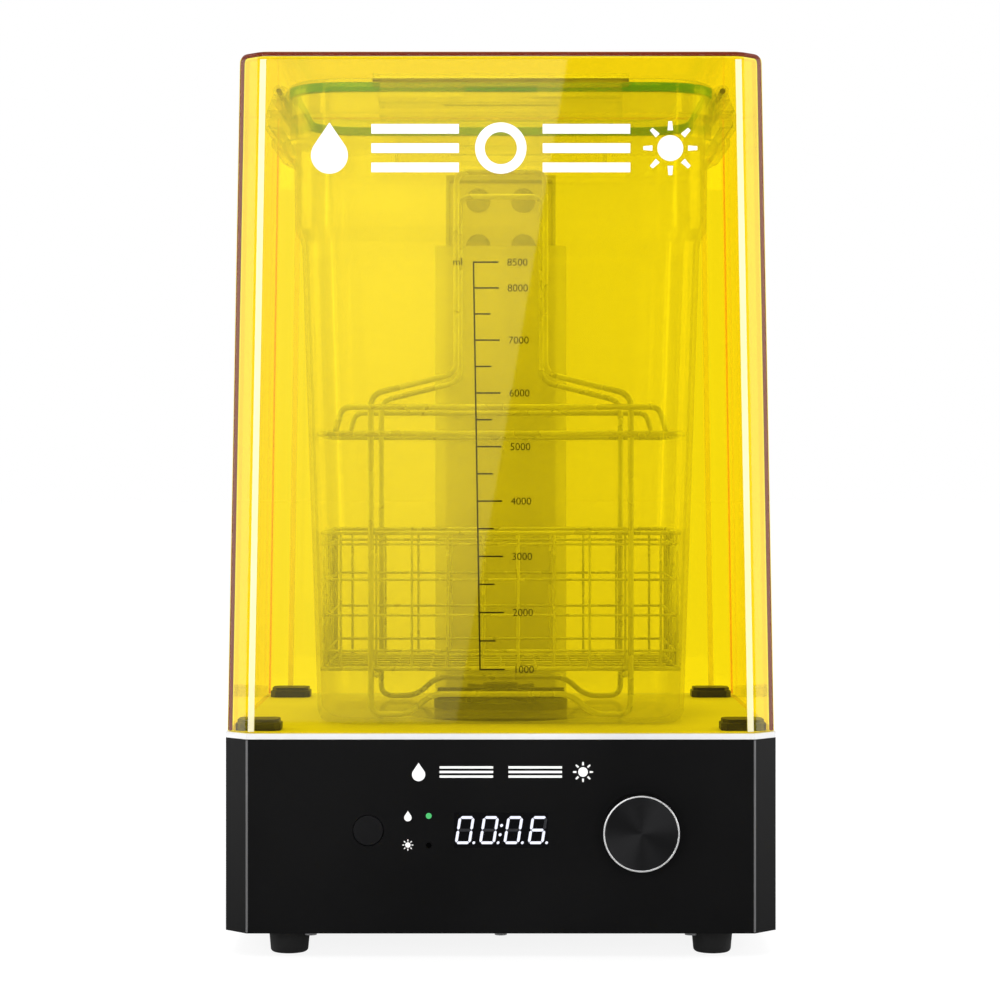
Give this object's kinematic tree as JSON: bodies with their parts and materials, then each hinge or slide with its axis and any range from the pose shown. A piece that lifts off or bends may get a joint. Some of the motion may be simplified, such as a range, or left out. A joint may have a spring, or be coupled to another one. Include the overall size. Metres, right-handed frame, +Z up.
{
  "type": "resin print wash and cure station",
  "caption": "Wash-and-cure station for resin prints: control base with magnetic stirrer, clear wash tub with snap lid, wire rack and basket, lamp tower and lift-off yellow cover.",
  "frame": {"origin": "on the supporting surface, under the middle of the part's bounding box", "axes": "+Z up; the front panel with the knob and the display faces -Y; +X to the right seen from the front"},
  "size_m": [0.29, 0.286, 0.4755],
  "materials": {
    "housing_black": "satin powder coat",
    "deck_metal": "fine satin",
    "screw_steel": "plain",
    "foot_rubber": "matt",
    "moulded_black": "fine texture",
    "window_black": "polished",
    "module_dark": "moulded",
    "led_green": "lit lens",
    "led_off": "unlit lens",
    "board_green": "solder mask",
    "lamp_board_white": "solder mask",
    "encoder_metal": "plain",
    "standoff_brass": "plain",
    "ribbon_grey": "ribbed",
    "motor_metal": "plated",
    "lamp_metal": "matt",
    "lens_clear": "polished",
    "shield_tint": "smoked",
    "magnet_metal": "nickel plated",
    "shaft_steel": "ground",
    "knob_black": "spun black anodised face, bright cut rim",
    "button_black": "satin",
    "cover_yellow": "polished acrylic",
    "tub_clear": "moulded clear",
    "impeller_dark": "moulded",
    "rack_steel": "electropolished wire",
    "lid_clear": "moulded clear",
    "gasket_teal": "silicone"
  },
  "bodies": {
    "base": {"base_housing": "housing_black", "bottom_plate": "housing_black", "bottom_screws": "screw_steel", "rubber_feet": "foot_rubber", "foot_screws": "screw_steel", "deck_plate": "deck_metal", "deck_screws": "screw_steel", "cover_blocks": "moulded_black", "display_window": "window_black", "display_module": "module_dark", "wash_led": "led_green", "cure_led": "led_off", "front_board": "board_green", "button_switch": "moulded_black", "encoder_body": "encoder_metal", "main_board": "board_green", "board_standoffs": "standoff_brass", "ribbon_cable": "ribbon_grey", "motor_bracket": "motor_metal", "motor_can": "motor_metal", "motor_screws": "screw_steel", "lamp_housing": "lamp_metal", "lamp_board": "lamp_board_white", "lamp_lenses": "lens_clear", "lamp_shield": "shield_tint", "lamp_screws": "screw_steel", "power_jack": "moulded_black", "jack_pin": "standoff_brass", "rocker_frame": "moulded_black"},
    "drive": {"drive_disc": "moulded_black", "drive_magnets": "magnet_metal", "motor_shaft": "shaft_steel"},
    "encoder_push": {"encoder_plunger": "moulded_black"},
    "knob": {"encoder_shaft": "encoder_metal", "knob_shell": "knob_black", "knob_hub": "moulded_black"},
    "button": {"mode_button": "button_black"},
    "rocker": {"power_rocker": "button_black"},
    "cover": {"cover": "cover_yellow"},
    "tub": {"tub": "tub_clear", "impeller_pin": "shaft_steel"},
    "impeller": {"impeller": "impeller_dark", "impeller_magnets": "magnet_metal"},
    "rack": {"rack_front_loop": "rack_steel", "rack_back_loop": "rack_steel", "rack_ties": "rack_steel", "rack_ring": "rack_steel", "rack_hangers": "rack_steel", "basket_front": "rack_steel", "basket_back": "rack_steel", "basket_left": "rack_steel", "basket_right": "rack_steel", "basket_floor": "rack_steel"},
    "lid": {"lid": "lid_clear", "lid_gasket": "gasket_teal", "latch_pins": "shaft_steel"},
    "latch_front": {"latch_front": "lid_clear"},
    "latch_right": {"latch_right": "lid_clear"},
    "latch_back": {"latch_back": "lid_clear"},
    "latch_left": {"latch_left": "lid_clear"}
  },
  "joints": [
    {"name": "cover_lift", "type": "slide", "parent": "base", "child": "cover", "axis": [0, 0, 1], "range_m": [0, 0.72]},
    {"name": "tub_lift", "type": "slide", "parent": "base", "child": "tub", "axis": [0, 0, 1], "range_m": [0, 0.0288]},
    {"name": "lid_lift", "type": "slide", "parent": "tub", "child": "lid", "axis": [0, 0, 1], "range_m": [0, 0.3312]},
    {"name": "rack_lift", "type": "slide", "parent": "tub", "child": "rack", "axis": [0, 0, 1], "range_m": [0, 0.3384]},
    {"name": "latch_front_swing", "type": "hinge", "parent": "lid", "child": "latch_front", "pos_m": [0, -0.1027, 0.463], "axis": [-1, 0, 0], "range_deg": [0, 26]},
    {"name": "latch_right_swing", "type": "hinge", "parent": "lid", "child": "latch_right", "pos_m": [0.1217, -0.0015, 0.463], "axis": [0, -1, 0], "range_deg": [0, 15]},
    {"name": "latch_back_swing", "type": "hinge", "parent": "lid", "child": "latch_back", "pos_m": [0, 0.0997, 0.463], "axis": [1, 0, 0], "range_deg": [0, 80]},
    {"name": "latch_left_swing", "type": "hinge", "parent": "lid", "child": "latch_left", "pos_m": [-0.1217, -0.0015, 0.463], "axis": [0, 1, 0], "range_deg": [0, 15]},
    {"name": "drive_spin", "type": "hinge", "parent": "base", "child": "drive", "pos_m": [0, -0.0015, 0.11], "axis": [0, 0, 1], "continuous": true},
    {"name": "impeller_spin", "type": "hinge", "parent": "tub", "child": "impeller", "pos_m": [0, -0.0015, 0.125], "axis": [0, 0, 1], "continuous": true},
    {"name": "knob_press", "type": "slide", "parent": "base", "child": "encoder_push", "axis": [0, 1, 0], "range_m": [0, 0.0006], "stiffness_N_per_m": 800, "springref_m": -0.001},
    {"name": "knob_turn", "type": "hinge", "parent": "encoder_push", "child": "knob", "pos_m": [0.0729, -0.135, 0.0663], "axis": [0, 1, 0], "continuous": true},
    {"name": "button_press", "type": "slide", "parent": "base", "child": "button", "axis": [0, 1, 0], "range_m": [0, 0.001], "stiffness_N_per_m": 500, "springref_m": -0.001},
    {"name": "rocker_tilt", "type": "hinge", "parent": "base", "child": "rocker", "pos_m": [-0.062, 0.138, 0.06], "axis": [1, 0, 0], "range_deg": [0, 16]}
  ],
  "couplings": [
    {"joint": "tub_lift", "follows": "cover_lift", "ratio": 0.04},
    {"joint": "lid_lift", "follows": "cover_lift", "ratio": 0.46},
    {"joint": "rack_lift", "follows": "cover_lift", "ratio": 0.47},
    {"joint": "impeller_spin", "follows": "drive_spin", "ratio": 1}
  ]
}
